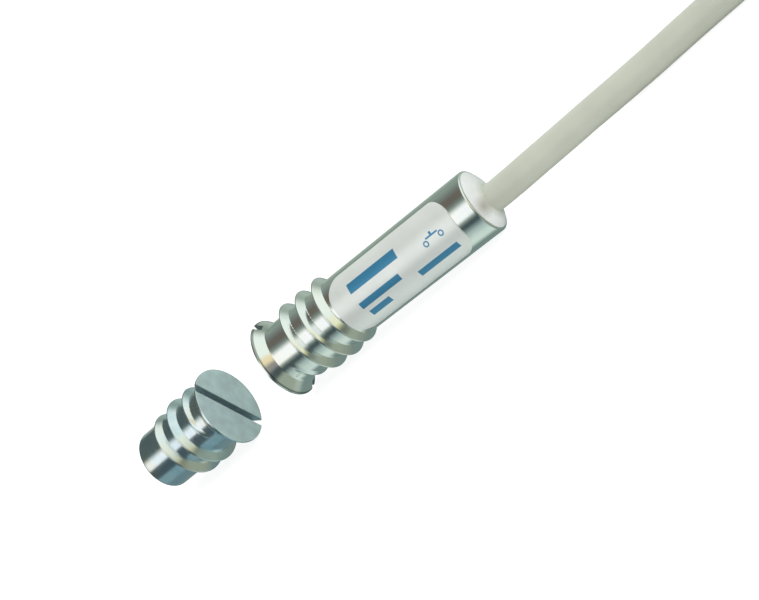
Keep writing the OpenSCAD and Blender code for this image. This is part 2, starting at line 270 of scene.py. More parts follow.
def mesh_object(name, points, faces, material, smooth=True, uv=None):
    """A mesh object at the origin from points and a list of face arrays."""
    mesh = bpy.data.meshes.new(name)
    loops = np.concatenate([f.ravel() for f in faces]).astype(np.int32)
    sizes = np.concatenate([np.full(len(f), f.shape[1]) for f in faces]).astype(np.int32)
    starts = np.concatenate([[0], np.cumsum(sizes)[:-1]]).astype(np.int32)
    mesh.vertices.add(len(points))
    mesh.vertices.foreach_set("co", np.asarray(points, np.float32).ravel())
    mesh.loops.add(len(loops))
    mesh.loops.foreach_set("vertex_index", loops)
    mesh.polygons.add(len(sizes))
    mesh.polygons.foreach_set("loop_start", starts)
    if uv is not None:
        layer = mesh.uv_layers.new(name="UVMap")
        layer.uv.foreach_set("vector", np.asarray(uv, np.float32)[loops].ravel())
    mesh.update(calc_edges=True)
    mesh.validate()
    mesh.polygons.foreach_set("use_smooth", np.full(len(sizes), smooth))
    obj = bpy.data.objects.new(name, mesh)
    bpy.context.scene.collection.objects.link(obj)
    if material is not None:
        mesh.materials.append(material)
    return obj


def closed_revolve(axes, z, r, theta):
    """Points and faces of a closed turned surface: rows of z and r (rows by columns), with a pole at each end."""
    rows, cols = r.shape
    points = axes.place(r * np.cos(theta), r * np.sin(theta), z).reshape(-1, 3)
    poles = axes.place(np.zeros(2), np.zeros(2), np.array([z[0].mean(), z[-1].mean()]))
    points = np.vstack([points, poles])
    faces = [
        grid_faces(rows, cols, True),
        cap_faces(0, cols, rows * cols, True),
        cap_faces((rows - 1) * cols, cols, rows * cols + 1, False),
    ]
    return points, faces


def apply_modifiers(obj):
    """Replaces the mesh by its evaluated form."""
    graph = bpy.context.evaluated_depsgraph_get()
    mesh = bpy.data.meshes.new_from_object(obj.evaluated_get(graph))
    obj.modifiers.clear()
    obj.data = mesh


def shade_by_angle(obj, degrees):
    """Smooth faces, with edges over the angle kept sharp."""
    obj.data.polygons.foreach_set("use_smooth", np.full(len(obj.data.polygons), True))
    obj.data.set_sharp_from_angle(angle=math.radians(degrees))


# Node helpers

def new_material(name):
    """An empty node material with an output and one Principled shader."""
    material = bpy.data.materials.new(name)
    material.use_nodes = True
    nodes = material.node_tree.nodes
    nodes.clear()
    output = nodes.new("ShaderNodeOutputMaterial")
    shader = nodes.new("ShaderNodeBsdfPrincipled")
    material.node_tree.links.new(shader.outputs["BSDF"], output.inputs["Surface"])
    return material, shader


def node(material, kind, **values):
    """A node with its plain properties and its numbered or named inputs set."""
    made = material.node_tree.nodes.new(kind)
    for key, value in values.items():
        if hasattr(made, key):
            setattr(made, key, value)
        else:
            made.inputs[key.replace("_", " ")].default_value = value
    return made


def link(material, source, target):
    """Links an output socket to an input socket."""
    material.node_tree.links.new(source, target)


def object_coords(material, axes=None, scale=(1, 1, 1)):
    """Object coordinates turned into a housing's own frame and scaled along its three axes."""
    coords = node(material, "ShaderNodeTexCoord")
    mapping = node(material, "ShaderNodeMapping", vector_type="POINT")
    link(material, coords.outputs["Object"], mapping.inputs["Vector"])
    if axes is not None:
        turned = axes.matrix().inverted()
        mapping.inputs["Location"].default_value = turned.translation
        mapping.inputs["Rotation"].default_value = turned.to_euler()
    stretch = node(material, "ShaderNodeVectorMath", operation="MULTIPLY")
    link(material, mapping.outputs["Vector"], stretch.inputs[0])
    stretch.inputs[1].default_value = scale
    return stretch.outputs["Vector"]


def noise(material, vector, scale, detail=3.0, roughness=0.5):
    """A noise texture's factor."""
    texture = node(material, "ShaderNodeTexNoise", Scale=scale, Detail=detail, Roughness=roughness)
    link(material, vector, texture.inputs["Vector"])
    return texture.outputs["Fac"]


def remap(material, value, low, high, to_low, to_high):
    """A value mapped from one range to another and clamped."""
    made = node(material, "ShaderNodeMapRange")
    link(material, value, made.inputs["Value"])
    made.inputs["From Min"].default_value = low
    made.inputs["From Max"].default_value = high
    made.inputs["To Min"].default_value = to_low
    made.inputs["To Max"].default_value = to_high
    return made.outputs["Result"]


def mix_colour(material, factor, a, b):
    """Mixes two colours, each a socket or a plain colour."""
    made = node(material, "ShaderNodeMix", data_type="RGBA")
    link(material, factor, made.inputs["Factor"])
    colours = [i for i in made.inputs if i.type == "RGBA"]
    for socket, value in zip(colours, (a, b)):
        if hasattr(value, "is_linked"):
            link(material, value, socket)
        else:
            socket.default_value = (*value, 1)
    return [o for o in made.outputs if o.type == "RGBA"][0]


def bump(material, shader, height, distance, strength=1.0):
    """Feeds a height to the shader's normal."""
    made = node(material, "ShaderNodeBump", Strength=strength, Distance=distance)
    link(material, height, made.inputs["Height"])
    link(material, made.outputs["Normal"], shader.inputs["Normal"])


# Materials

def zinc_plate(name, s, axes, base, bloom, dullness):
    """Bright zinc plate: fine turned streaks, a faint bloom, and a painted dark reflection line round the head's
    edge.
    """
    material, shader = new_material(name)
    shader.inputs["Metallic"].default_value = 1.0
    local = object_coords(material, axes)
    patches = noise(material, local, 260, 3, 0.5)
    straw = remap(material, patches, 0.52, 0.7, 0, 0.6 * bloom)
    tinted = mix_colour(material, straw, base, tuple(s.finish.straw))
    cool = remap(material, patches, 0.55, 0.3, 0, bloom)
    coloured = mix_colour(material, cool, tinted, tuple(s.finish.blue))
    depth = node(material, "ShaderNodeSeparateXYZ")
    link(material, local, depth.inputs["Vector"])
    # Painted reflection: a dark line just past the head's land, standing in for the dark room that the rounded corner
    # between land and cone mirrors.
    after = remap(material, depth.outputs["Z"], s.head.land - 0.03 * MM, s.head.land + 0.03 * MM, 0, 1)
    before = remap(material, depth.outputs["Z"], s.head.land + 0.1 * MM, s.head.land + 0.2 * MM, 0.75, 0)
    line = node(material, "ShaderNodeMath", operation="MULTIPLY")
    link(material, after, line.inputs[0])
    link(material, before, line.inputs[1])
    # The painted dark reflection line is mixed into the plate's colour here.
    link(material, mix_colour(material, line.outputs[0], coloured, (0.13, 0.16, 0.15)), shader.inputs["Base Color"])
    streaks = noise(material, object_coords(material, axes, (0.3, 0.3, 3)), 900, 4, 0.6)
    link(material, remap(material, streaks, 0.3, 0.7, dullness, dullness + 0.07), shader.inputs["Roughness"])
    bump(material, shader, streaks, 0.002 * MM, 0.4)
    return material


def shaded_slot_metal(name, shade):
    """The plate inside the slots: duller than outside, and darker, which is painted shade of the recess."""
    material, shader = new_material(name)
    shader.inputs["Metallic"].default_value = 0.9
    shader.inputs["Roughness"].default_value = 0.5
    grain = noise(material, object_coords(material), 1800, 3, 0.6)
    # Painted shade: the slot's colour is darkened to stand in for the shade deep in the recess.
    shades = mix_colour(material, remap(material, grain, 0.3, 0.7, 0, 1), shade, tuple(c * 0.75 for c in shade))
    link(material, shades, shader.inputs["Base Color"])
    bump(material, shader, grain, 0.008 * MM, 0.4)
    return material


def satin_face(name, base):
    """The slotted face: the same plate over a sand-blasted surface."""
    material, shader = new_material(name)
    shader.inputs["Metallic"].default_value = 0.75
    shader.inputs["Roughness"].default_value = 0.62
    local = object_coords(material)
    grain = noise(material, local, 4200, 3, 0.6)
    cloud = noise(material, local, 700, 3, 0.5)
    dark = tuple(c * 0.82 for c in base)
    link(material, mix_colour(material, remap(material, cloud, 0.3, 0.7, 0, 1), base, dark), shader.inputs["Base Color"])
    bump(material, shader, grain, 0.01 * MM, 0.35)
    return material


def plastic(name, base, roughness, grain_size=2500, grain=0.01):
    """Plain moulded plastic with a soft sheen, slight mottling and a fine grain."""
    material, shader = new_material(name)
    shader.inputs["Roughness"].default_value = roughness
    local = object_coords(material)
    mottle = remap(material, noise(material, local, 260, 3), 0.3, 0.7, 0, 1)
    shade = tuple(c * 0.93 for c in base)
    link(material, mix_colour(material, mottle, base, shade), shader.inputs["Base Color"])
    bump(material, shader, noise(material, local, grain_size, 3), grain * MM, 0.4)
    return material


def milky_resin(name, s, axes):
    """Milky resin with a wet skin: it takes the lead's colour close to it, and has a painted shade, a dark spot on
    its near side beside the lead.
    """
    material, shader = new_material(name)
    shader.inputs["Roughness"].default_value = 0.16
    shader.inputs["Subsurface Weight"].default_value = 0.15
    shader.inputs["Subsurface Radius"].default_value = (1.0, 1.0, 1.0)
    shader.inputs["Subsurface Scale"].default_value = 0.5 * MM
    shader.inputs["Coat Weight"].default_value = 0.3
    base, lead_r = tuple(s.finish.resin), s.lead.diameter / 2
    local = object_coords(material, axes)
    cloud = remap(material, noise(material, local, 500, 4), 0.35, 0.65, 0, 1)
    pale = mix_colour(material, cloud, base, tuple(c * 0.94 for c in base))
    n = Nodes(material.node_tree)
    flat = n.add("ShaderNodeVectorMath", local, (1, 1, 0), operation="MULTIPLY").outputs[0]
    # Painted shade: a dark spot beside the lead's entry, mixed in below.
    painted_shade_spot = n.add("ShaderNodeVectorMath", flat, (0.4 * MM, 2.6 * MM, 0), operation="DISTANCE")
    near = remap(material, painted_shade_spot.outputs["Value"], 0.2 * MM, 1.5 * MM, 0.8, 0)
    lead = n.add("ShaderNodeVectorMath", flat, (-s.lead.drop, s.lead.aside, 0), operation="DISTANCE")
    close = remap(material, lead.outputs["Value"], lead_r, lead_r + 0.8 * MM, 0.9, 0)
    pale = mix_colour(material, close, pale, tuple(s.lead.jacket))
    # The dark colour mixed in here is the painted shade spot.
    link(material, mix_colour(material, near, pale, (0.38, 0.365, 0.30)), shader.inputs["Base Color"])
    bump(material, shader, noise(material, local, 900, 2), 0.02 * MM, 0.3)
    return material


def plain_metal(name, base, roughness):
    """A bare metal with fine drawn streaks along X."""
    material, shader = new_material(name)
    shader.inputs["Metallic"].default_value = 1.0
    streaks = noise(material, object_coords(material, None, (0.1, 1, 1)), 4000, 3)
    shade = tuple(c * 0.85 for c in base)
    link(material, mix_colour(material, remap(material, streaks, 0.3, 0.7, 0, 1), base, shade), shader.inputs["Base Color"])
    link(material, remap(material, streaks, 0.3, 0.7, roughness * 0.8, roughness * 1.3), shader.inputs["Roughness"])
    return material


def green_glass(name):
    """The capsule's clear greenish glass."""
    material, shader = new_material(name)
    shader.inputs["Base Color"].default_value = (0.86, 0.97, 0.88, 1)
    shader.inputs["Roughness"].default_value = 0.02
    shader.inputs["IOR"].default_value = 1.5
    shader.inputs["Transmission Weight"].default_value = 1.0
    bump(material, shader, noise(material, object_coords(material), 300, 2), 0.01 * MM, 0.2)
    return material


# The housings

def arc(z, r, radius, start_deg, end_deg, count):
    """Points of a circular arc in the turned section, as z and r."""
    a = np.radians(np.linspace(start_deg, end_deg, count))
    return z + radius * np.sin(a), r + radius * np.cos(a)


def ridge_height(theta, z, thread, housing):
    """Height of the helical ridge at an angle and a depth.

    Its centre climbs one pitch a turn. Its flanks are straight and its crest is rounded by a parabola that
    takes up a given share of the half width. It is narrower and lower over the run-in and the run-out.
    """
    height = np.zeros(np.broadcast(theta, z).shape)
    whole = 2 * math.pi
    crest = 0.16
    steep = 1 / (1 - crest / 2)
    turns = int(math.ceil(housing.thread_sweep / whole)) + 1
    for n in range(turns):
        a = np.mod(theta - housing.thread_turn, whole) + whole * n
        centre = housing.thread_start + thread.pitch * a / whole
        rise = np.minimum(a / housing.run_in, (housing.thread_sweep - a) / thread.run_out)
        rise = np.clip(rise, 0, 1)
        half = thread.foot / 2 * (0.55 + 0.45 * rise)
        off = np.abs(z - centre) / half
        section = np.where(off < crest, 1 - steep / (2 * crest) * off ** 2, np.clip(steep * (1 - off), 0, 1))
        height = np.maximum(height, thread.height * rise * section)
    return height


def housing_section(s, housing):
    """The turned section from the face's middle to the bore's bottom: depths and core radii."""
    h = s.head
    cone_end = h.land + housing.head_r - (housing.tube_r - h.draft)
    thread_end = housing.thread_start + s.thread.pitch * housing.thread_sweep / (2 * math.pi) + s.thread.foot / 2
    core = housing.tube_r - h.draft
    edge_z, edge_r = arc(h.edge, housing.head_r - h.edge, h.edge, -90, 0, 5)
    bend = h.fillet * math.tan(math.radians(22.5))
    fillet_z = cone_end + bend + h.fillet * np.sin(np.radians(np.linspace(-45, 0, 6)))
    fillet_r = core + h.fillet * (1 - np.cos(np.radians(np.linspace(-45, 0, 6))))
    thread_z = np.arange(fillet_z[-1] + 0.05 * MM, thread_end, 0.045 * MM)
    thread_r = core + h.draft * (thread_z - thread_z[0]) / (thread_end - thread_z[0])
    tube_z = np.linspace(thread_end, housing.length - h.rim, 12)
    rim_z, rim_r = arc(housing.length - h.rim, housing.tube_r - h.rim, h.rim, 0, 90, 7)
    rim_z, rim_r = rim_z[1:], rim_r[1:]
    lip = 0.08 * MM
    z = np.concatenate([
        np.zeros(2), edge_z, [h.land], fillet_z, thread_z, tube_z, rim_z,
        [housing.length, housing.length - lip, housing.bore_start],
    ])
    r = np.concatenate([
        [0.25 * housing.head_r, 0.8 * housing.head_r], edge_r, [housing.head_r], fillet_r, thread_r,
        np.full(len(tube_z), housing.tube_r), rim_r,
        [housing.bore_r + lip, housing.bore_r, housing.bore_r],
    ])
    return z, r, cone_end


def slot_cutter(s, housing, axes, material):
    """A bar with the slot's section: straight walls that flare by a small bevel at the face."""
    h = s.head
    half, flare = h.slot_w / 2, h.slot_w / 2 + h.slot_break
    out = 1 * MM
    across = np.array([-flare, flare, flare, half, half, -half, -half, -flare])
    depth = np.array([-out, -out, 0, h.slot_break, h.slot_depth, h.slot_depth, h.slot_break, 0])
    reach = 1.3 * housing.head_r
    c, n = math.cos(housing.slot_turn), math.sin(housing.slot_turn)
    ends = []
    for along in (-reach, reach):
        ends.append(axes.place(along * c - across * n, along * n + across * c, depth))
    points = np.vstack(ends)
    k = np.arange(8)
    sides = np.stack([k, (k + 1) % 8, (k + 1) % 8 + 8, k + 8], -1)
    caps = np.array([k[::-1], k + 8])
    return mesh_object("slot_cutter", points, [sides, caps], material, smooth=False)


def housing_piece(name, s, housing, axes, plate, face, slot):
    """A housing's surface: the turned section plus the ridge's height, with the slot cut out of its head."""
    z, r, cone_end = housing_section(s, housing)
    theta = np.linspace(0, 2 * math.pi, 192, endpoint=False)[None, :]
    z, r = z[:, None] + 0 * theta, r[:, None] + 0 * theta
    outside = (z > cone_end * 0.8) & (np.arange(len(z))[:, None] < len(z) - 9)
    r = r + np.where(outside, ridge_height(theta, z, s.thread, housing), 0)
    points, faces = closed_revolve(axes, z, r, theta)
    obj = mesh_object(name, points, faces, plate)
    obj.data.materials.append(face)
    cutter = slot_cutter(s, housing, axes, slot)
    cut = obj.modifiers.new("Slot", "BOOLEAN")
    cut.operation = "DIFFERENCE"
    cut.solver = "EXACT"
    cut.material_mode = "TRANSFER"
    cut.object = cutter
    apply_modifiers(obj)
    bpy.data.objects.remove(cutter)
    paint_face(obj, axes, s.head.slot_break * 0.2)
    shade_by_angle(obj, 32)
    return obj


def paint_face(obj, axes, depth):
    """Gives the flat of the slotted face the second material."""
    count = len(obj.data.polygons)
    centres = np.empty(count * 3)
    normals = np.empty(count * 3)
    index = np.empty(count, np.int32)
    obj.data.polygons.foreach_get("center", centres)
    obj.data.polygons.foreach_get("normal", normals)
    obj.data.polygons.foreach_get("material_index", index)
    z = (centres.reshape(-1, 3) - axes.origin) @ axes.along
    facing = normals.reshape(-1, 3) @ axes.along
    index[(z < depth) & (facing < -0.9)] = 1
    obj.data.polygons.foreach_set("material_index", index)


def resin_piece(s, axes, material):
    """The rear's resin: a low dome out over the wall's end, with a smooth hollow climb up the lead.

    The climb falls off with the distance to the lead's skin as an exponential.
    """
    out, bore, end = s.switch.tube_r - s.head.rim, s.switch.bore_r, s.switch.length
    theta = np.linspace(0, 2 * math.pi, 128, endpoint=False)[None, :]
    top_r = np.concatenate([out - 0.03 * MM * (1 - np.sin(np.linspace(0, math.pi / 2, 5))), np.linspace(out, 0.05 * MM, 72)[1:]])
    under_z = np.array([end - 8 * MM, end - 8 * MM, end - 0.02 * MM, end - 0.02 * MM])
    under_r = np.array([0.5 * bore, bore, bore, out - 0.03 * MM])
    r = np.concatenate([under_r, top_r])[:, None] + 0 * theta
    skin = np.hypot(r * np.cos(theta) + s.lead.drop, r * np.sin(theta) - s.lead.aside) - s.lead.diameter / 2
    skin = np.maximum(skin, 0)
    rank = np.arange(len(r))[:, None]
    dome = 0.68 * MM * (1 - (np.minimum(r / out, 1)) ** 4)
    climb = 0.28 * MM * np.exp(-skin / (0.4 * MM))
    rim = np.interp(rank, [4, 8], [-0.02 * MM, 0.03 * MM])
    z = np.where(rank < 4, np.append(under_z, np.zeros(len(top_r)))[:, None], end + rim + dome + climb)
    points, faces = closed_revolve(axes, z, r, theta)
    obj = mesh_object("resin_end", points, faces, material)
    shade_by_angle(obj, 60)
    return obj


# The label

def rounded_rectangle(u, v, length_, width, corner):
    """Squeezes a square grid's u and v into a rectangle with round corners, row by row."""
    x = u * length_ / 2
    over = np.clip(np.abs(x) - (length_ / 2 - corner), 0, corner)
    half = width / 2 - corner + np.sqrt(np.maximum(corner ** 2 - over ** 2, 0))
    return x, v * half


def label_piece(s, axes, material):
    """The film: a closed thin sheet bent round the tube, with its print on a UV map in millimetres."""
    lab = s.label
    bend = np.sin(np.linspace(-math.pi / 2, math.pi / 2, 81))
    u = np.sign(bend) * np.abs(bend) ** 0.8
    v = np.linspace(-1, 1, 41)
    uu, vv = np.meshgrid(u, v, indexing="ij")
    x, y = rounded_rectangle(uu, vv, lab.length, lab.width, lab.corner)
    around = np.arcsin(np.clip(y / s.switch.tube_r, -1, 1)) + lab.turn
    z = lab.start + lab.length / 2 + x
    lift = 0.012 * MM
    shells = []
    for r in (s.switch.tube_r + lab.thickness - lift * (np.abs(vv) > 0.999), s.switch.tube_r + 0 * vv):
        shells.append(axes.place(r * np.cos(around), r * np.sin(around), z).reshape(-1, 3))
    rows, cols = uu.shape
    top = grid_faces(rows, cols, False)
    bottom = top[:, ::-1] + rows * cols
    ring = np.concatenate([
        np.arange(cols), cols * np.arange(1, rows) + cols - 1,
        (rows - 1) * cols + np.arange(cols - 2, -1, -1), cols * np.arange(rows - 2, 0, -1),
    ])
    after = np.roll(ring, -1)
    wall = np.stack([ring, ring + rows * cols, after + rows * cols, after], -1)
    uv = np.tile(np.stack([x, y], -1).reshape(-1, 2) / MM, (2, 1))
    obj = mesh_object("label_film", np.vstack(shells), [top, bottom, wall], material, uv=uv)
    shade_by_angle(obj, 40)
    return obj


class Print:
    """Builds a mask of simple shapes from the label's UV map, in millimetres."""

    def __init__(self, material):
        self.material = material
        uv = node(material, "ShaderNodeUVMap", uv_map="UVMap")
        split = node(material, "ShaderNodeSeparateXYZ")
        link(material, uv.outputs["UV"], split.inputs["Vector"])
        self.x, self.y = split.outputs["X"], split.outputs["Y"]
        self.total = None

    def math(self, operation, a, b=None):
        """One math node on two sockets or numbers."""
        made = node(self.material, "ShaderNodeMath", operation=operation)
        for socket, value in zip(made.inputs, (a, b)):
            if value is None:
                continue
            if isinstance(value, (int, float)):
                socket.default_value = value
            else:
                link(self.material, value, socket)
        return made.outputs["Value"]

    def add(self, mask):
        """Adds a shape to the print."""
        self.total = mask if self.total is None else self.math("MAXIMUM", self.total, mask)

    def edge(self, distance):
        """1 inside a signed distance and 0 outside, with a soft ink edge."""
        return remap(self.material, distance, -0.02, 0.02, 1, 0)

    def bar(self, x0, x1, y0, y1):
        """A rectangle."""
        dx = self.math("SUBTRACT", self.math("ABSOLUTE", self.math("SUBTRACT", self.x, (x0 + x1) / 2)), (x1 - x0) / 2)
        dy = self.math("SUBTRACT", self.math("ABSOLUTE", self.math("SUBTRACT", self.y, (y0 + y1) / 2)), (y1 - y0) / 2)
        self.add(self.edge(self.math("MAXIMUM", dx, dy)))

    def dot(self, x, y, r, hole=0.0):
        """A disc, or a ring where hole is its inner radius."""
        dx, dy = self.math("SUBTRACT", self.x, x), self.math("SUBTRACT", self.y, y)
        d = self.math("SQRT", self.math("ADD", self.math("MULTIPLY", dx, dx), self.math("MULTIPLY", dy, dy)))
        outer = self.math("SUBTRACT", d, r)
        if hole:
            outer = self.math("MAXIMUM", outer, self.math("SUBTRACT", hole, d))
        self.add(self.edge(outer))


def label_print(s):
    """Silvery film with plain blue bars and a contact symbol in place of words."""
    material, shader = new_material("label_film")
    ink = Print(material)
    ink.bar(-6.2, 1.2, -2.1, -1.0)
    ink.bar(-6.2, 0, 0.3, 1.1)
    ink.bar(-5.9, -2.8, 1.65, 2.35)
    ink.dot(4.95, -0.25, 0.36, 0.2)
    ink.dot(7.15, -0.25, 0.36, 0.2)
    ink.bar(5.2, 6.95, -0.82, -0.62)
    ink.bar(5.9, 6.2, -1.15, -0.8)
    ink.bar(1.9, 7.8, 1.5, 2.2)
    local = object_coords(material)
    cloud = remap(material, noise(material, local, 350, 3), 0.3, 0.7, 0, 1)
    film = mix_colour(material, cloud, tuple(s.label.film), tuple(c * 0.94 for c in s.label.film))
    link(material, mix_colour(material, ink.total, film, tuple(s.label.ink)), shader.inputs["Base Color"])
    shader.inputs["Metallic"].default_value = 0.25
    shader.inputs["Roughness"].default_value = 0.34
    shader.inputs["Coat Weight"].default_value = 0.25
    shader.inputs["Coat Roughness"].default_value = 0.15
    bump(material, shader, noise(material, local, 1500, 3), 0.01 * MM, 0.25)
    return material


# The lead

# Middle of the lead from inside the resin to the hank, in millimetres, as in the solids
CABLE_ROUTE_MM = [
    (22.5, -0.2, 3.8), (27.7, -0.2, 3.58), (29.5, -0.2, 3.49), (31.5, 0, 3.38), (34, 0.5, 3.2),
    (36, 1, 3.02), (38, 1.55, 2.82), (40, 2.1, 2.62), (42, 2.7, 2.42), (44, 3.2, 2.22),
    (46, 3.7, 2.03), (48, 4.15, 1.88), (50, 4.5, 1.77), (52, 4.8, 1.71), (54, 5, 1.7),
    (57, 5.2, 1.7), (60, 5.3, 1.7), (64, 5.4, 1.7), (68.5, 5.4, 1.7),
]



# How far the last turn and the tail sink between the turns under them
TOP_SINK = 0.13 * MM


def smooth_curve(points, step):
    """A curve through points: cubic pieces with slopes from each point's two neighbours, at even steps."""
    p = np.asarray(points, float)
    t = np.concatenate([[0], np.cumsum(np.linalg.norm(np.diff(p, axis=0), axis=1))])
    slope = np.gradient(p, t, axis=0)
    at = np.linspace(0, t[-1], int(t[-1] / step) + 1)
    i = np.clip(np.searchsorted(t, at, side="right") - 1, 0, len(t) - 2)
    gap = (t[i + 1] - t[i])[:, None]
    u = ((at - t[i])[:, None]) / gap
    a, b = 2 * u ** 3 - 3 * u ** 2 + 1, u ** 3 - 2 * u ** 2 + u
    c, d = -2 * u ** 3 + 3 * u ** 2, u ** 3 - u ** 2
    return a * p[i] + b * gap * slope[i] + c * p[i + 1] + d * gap * slope[i + 1]


def ease(x):
    """0 below 0, 1 above 1, and a smooth step between."""
    x = np.clip(x, 0, 1)
    return x * x * (3 - 2 * x)


def hank_track(u, r, lead, start):
    """Point on a racetrack at the fraction u of a turn, at radius r: near run, end, far run, end."""
    run = lead.run
    bend = math.pi * lead.turn_r
    along = np.mod(u, 1) * 2 * (run + bend)
    x0, y0 = start[0], start[1] + lead.turn_r
    near = along < run
    end = (along >= run) & (along < run + bend)
    far = (along >= run + bend) & (along < 2 * run + bend)
    a = np.where(end, (along - run) / bend * math.pi, (along - 2 * run - bend) / bend * math.pi)
    x = np.where(near, x0 + along, 0)
    x = np.where(end, x0 + run + r * np.sin(a), x)
    x = np.where(far, x0 + run - (along - run - bend), x)
    x = np.where(~near & ~end & ~far, x0 - r * np.sin(a), x)
    y = np.where(near, y0 - r, 0)
    y = np.where(end, y0 - r * np.cos(a), y)
    y = np.where(far, y0 + r, y)
    y = np.where(~near & ~end & ~far, y0 + r * np.cos(a), y)
    return x, y


def hank_path(lead, start, turns):
    """The wound lead: layers of two turns, outer and inner by turns, each change a little before the last.

    Even changes go across a layer and odd ones up to the next, the last one on top of the whole hank.
    """
    d = lead.diameter
    rises = [d] * (turns - 1) + [d - TOP_SINK]
    u = np.arange(0, turns, 0.0035)
    radius = np.full(u.shape, lead.turn_r)
    height = np.full(u.shape, d / 2)
    first, width = 0.95, 0.05
    outward = -d
    for k in range(turns):
        step = ease((u - (k + first - width * (k + 1))) / width)
        if k % 2:
            height = height + step * rises[k]
        else:
            radius = radius + step * outward
            outward = -outward
    x, y = hank_track(u, radius, lead, start)
    return np.stack([x, y, height], -1)


def tube(name, path, radius, sides, material):
    """A round tube round a path, its rings square to the path with one side kept level, with flat ends."""
    forward = np.gradient(path, axis=0)
    forward /= np.linalg.norm(forward, axis=1)[:, None]
    side = np.cross(np.array([0, 0, 1.0]), forward)
    side /= np.linalg.norm(side, axis=1)[:, None]
    up = np.cross(forward, side)
    a = np.linspace(0, 2 * math.pi, sides, endpoint=False)
    ring = np.cos(a)[None, :, None] * side[:, None, :] + np.sin(a)[None, :, None] * up[:, None, :]
    points = (path[:, None, :] + radius * ring).reshape(-1, 3)
    rows = len(path)
    faces = [grid_faces(rows, sides, True)[:, ::-1]]
    faces.append(np.arange(sides)[None, :])
    faces.append(((rows - 1) * sides + np.arange(sides)[::-1])[None, :])
    obj = mesh_object(name, points, faces, material)
    shade_by_angle(obj, 50)
    return obj


def lead_path(s):
    """The whole lead: its listed route, the hank's turns and the tail on top."""
    lead = s.lead
    route = np.array(CABLE_ROUTE_MM) * MM
    free = smooth_curve(route, 0.6 * MM)
    outer = lead.turn_r + lead.diameter / 2
    depth = math.sqrt(outer ** 2 - (lead.turn_r - lead.diameter / 2) ** 2)
    hank_x = route[-1][0] + 0.1 * MM + depth
    entry = np.array([[hank_x, route[-1][1], route[-1][2]]])
    straight = np.linspace(route[-1], entry[0], 12)[1:-1]
    wound = hank_path(lead, entry[0], 10)
    tail_y = entry[0][1] + lead.diameter
    top = lead.height + lead.diameter / 2 - TOP_SINK
    tail = np.linspace((hank_x, tail_y, top), (hank_x + lead.tail, tail_y, top), 12)
    joined = np.vstack([free, straight, wound, tail])
    return joined, tail[-1]


def path_length(path):
    """Length along a path."""
    return float(np.linalg.norm(np.diff(path, axis=0), axis=1).sum())


# Camera and stage

def camera_axes(stage):
    """Right, up and back of the camera in the row frame, from its azimuth, elevation and roll."""
    a, e = stage.azimuth, stage.elevation
    back = np.array([math.sin(a) * math.cos(e), -math.cos(a) * math.cos(e), math.sin(e)])
    right = np.cross([0, 0, 1], back)
    right /= np.linalg.norm(right)
    up = np.cross(back, right)
    c, n = math.cos(stage.roll), math.sin(stage.roll)
    return c * right + n * up, -n * right + c * up, back


def screen(red, green, blue):
    """A colour as a screen shows it, from 0 to 255, in linear light."""
    v = np.array([red, green, blue]) / 255
    return tuple(np.where(v <= 0.04045, v / 12.92, ((v + 0.055) / 1.055) ** 2.4)) + (1.0,)


# The room that the metal mirrors, seen across its length. Degrees run from straight behind, down under the
# object to the front, up over it and back.
PALE_WALL = screen(165, 180, 171)
DIM_WALL = screen(134, 148, 138)
TABLE_BEHIND = screen(117, 135, 131)
WHITE_TABLE = screen(200, 216, 208)
GREY_TABLE = screen(162, 180, 176)
DARK_GAP = screen(68, 81, 83)
WINDOW = screen(250, 251, 251)
BROWN_CEILING = screen(102, 98, 90)
GREY_CEILING = screen(114, 122, 118)
ROOM_ACROSS = [
    (-180, PALE_WALL), (-150, TABLE_BEHIND), (-100, TABLE_BEHIND), (-80, WHITE_TABLE), (-62, WHITE_TABLE),
    (-36, GREY_TABLE), (-14, DARK_GAP), (-5, DARK_GAP), (5, DIM_WALL), (14, WINDOW), (45, WINDOW),
    (61, DIM_WALL), (68, GREY_CEILING), (78, BROWN_CEILING), (96, BROWN_CEILING), (114, GREY_CEILING),
    (138, DIM_WALL), (156, DIM_WALL), (180, PALE_WALL),
]

# The same room seen towards +X and the lead
OLIVE_TABLE = screen(148, 159, 145)
DULL_TABLE = screen(120, 133, 125)
STRAW_LIGHT = screen(232, 218, 178)
LILAC_WALL = screen(138, 138, 138)
WHITE_CURTAIN = screen(234, 243, 236)
GREEN_WALL = screen(181, 194, 184)
ROOM_RIGHT = [
    (-180, GREEN_WALL), (-112, DULL_TABLE), (-84, OLIVE_TABLE), (-34, OLIVE_TABLE), (-20, DARK_GAP),
    (-2, DARK_GAP), (12, LILAC_WALL), (26, LILAC_WALL), (42, STRAW_LIGHT), (58, STRAW_LIGHT),
    (70, WHITE_CURTAIN), (144, WHITE_CURTAIN), (166, GREEN_WALL), (180, GREEN_WALL),
]

# The end of the room straight along +X, by height from -1 under to 1 above
WARM_LIGHT = screen(235, 236, 204)
YELLOW_EDGE = screen(200, 200, 155)
OLIVE_FLOOR = screen(108, 115, 104)
ROOM_END = [
    (-1.0, PALE_WALL), (-0.62, PALE_WALL), (-0.38, OLIVE_FLOOR), (-0.2, OLIVE_FLOOR), (-0.08, YELLOW_EDGE),
    (-0.02, WARM_LIGHT), (0.12, WARM_LIGHT), (0.25, WHITE_CURTAIN), (1.0, WHITE_CURTAIN),
]

# And seen along -X
ROOM_LEFT = [
    (-180, GREY_TABLE), (-90, DARK_GAP), (-4, DARK_GAP), (10, DIM_WALL), (54, DIM_WALL), (68, WHITE_TABLE),
    (150, WHITE_TABLE), (180, GREY_TABLE),
]


